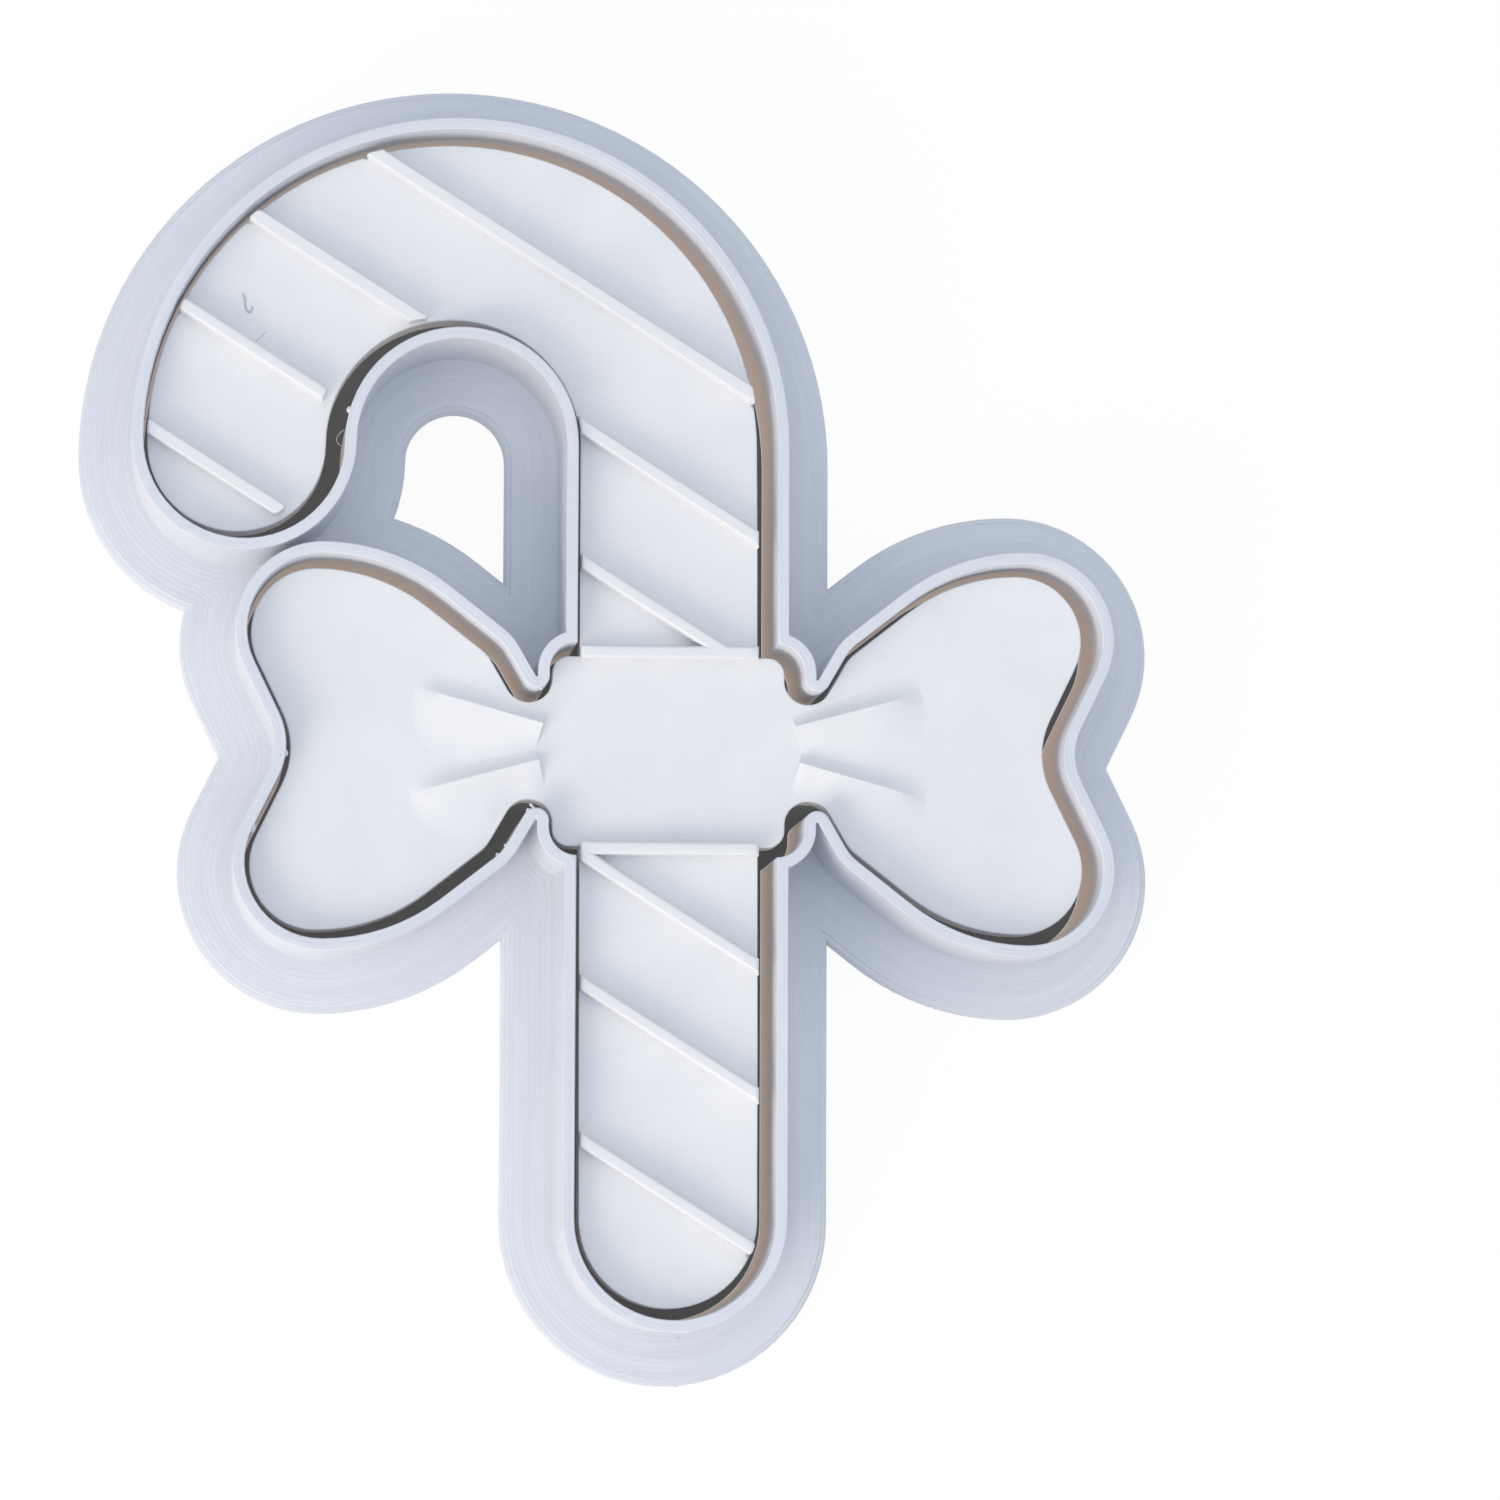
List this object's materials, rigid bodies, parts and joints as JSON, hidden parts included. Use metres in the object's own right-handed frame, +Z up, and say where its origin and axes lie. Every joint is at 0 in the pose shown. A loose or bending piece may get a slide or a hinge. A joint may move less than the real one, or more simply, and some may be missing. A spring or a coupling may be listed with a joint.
{
  "type": "plunger cookie cutter",
  "caption": "Candy-cane cookie cutter standing on a wide finger flange, with a loose relief stamp that slides through it as a plunger to emboss the dough and push it out.",
  "frame": {"origin": "on the table, under the middle of the flange's outline", "axes": "+Z up towards the cutting edge, +Y along the stem towards the hook, +X along the bow away from the hook's tip"},
  "size_m": [0.0934, 0.1126, 0.014],
  "materials": {
    "cutter_plastic": "white printed plastic with fine layer lines",
    "stamp_plastic": "white printed plastic with fine diagonal top lines",
    "grip_plastic": "white printed plastic"
  },
  "bodies": {
    "cutter": {"cutter_frame": "cutter_plastic"},
    "plunger": {"stamp_plate": "stamp_plastic", "plunger_grip": "grip_plastic"}
  },
  "joints": [
    {"name": "plunger_slide", "type": "slide", "parent": "cutter", "child": "plunger", "axis": [0, 0, 1], "range_m": [-0.0086, 0.0054]}
  ]
}
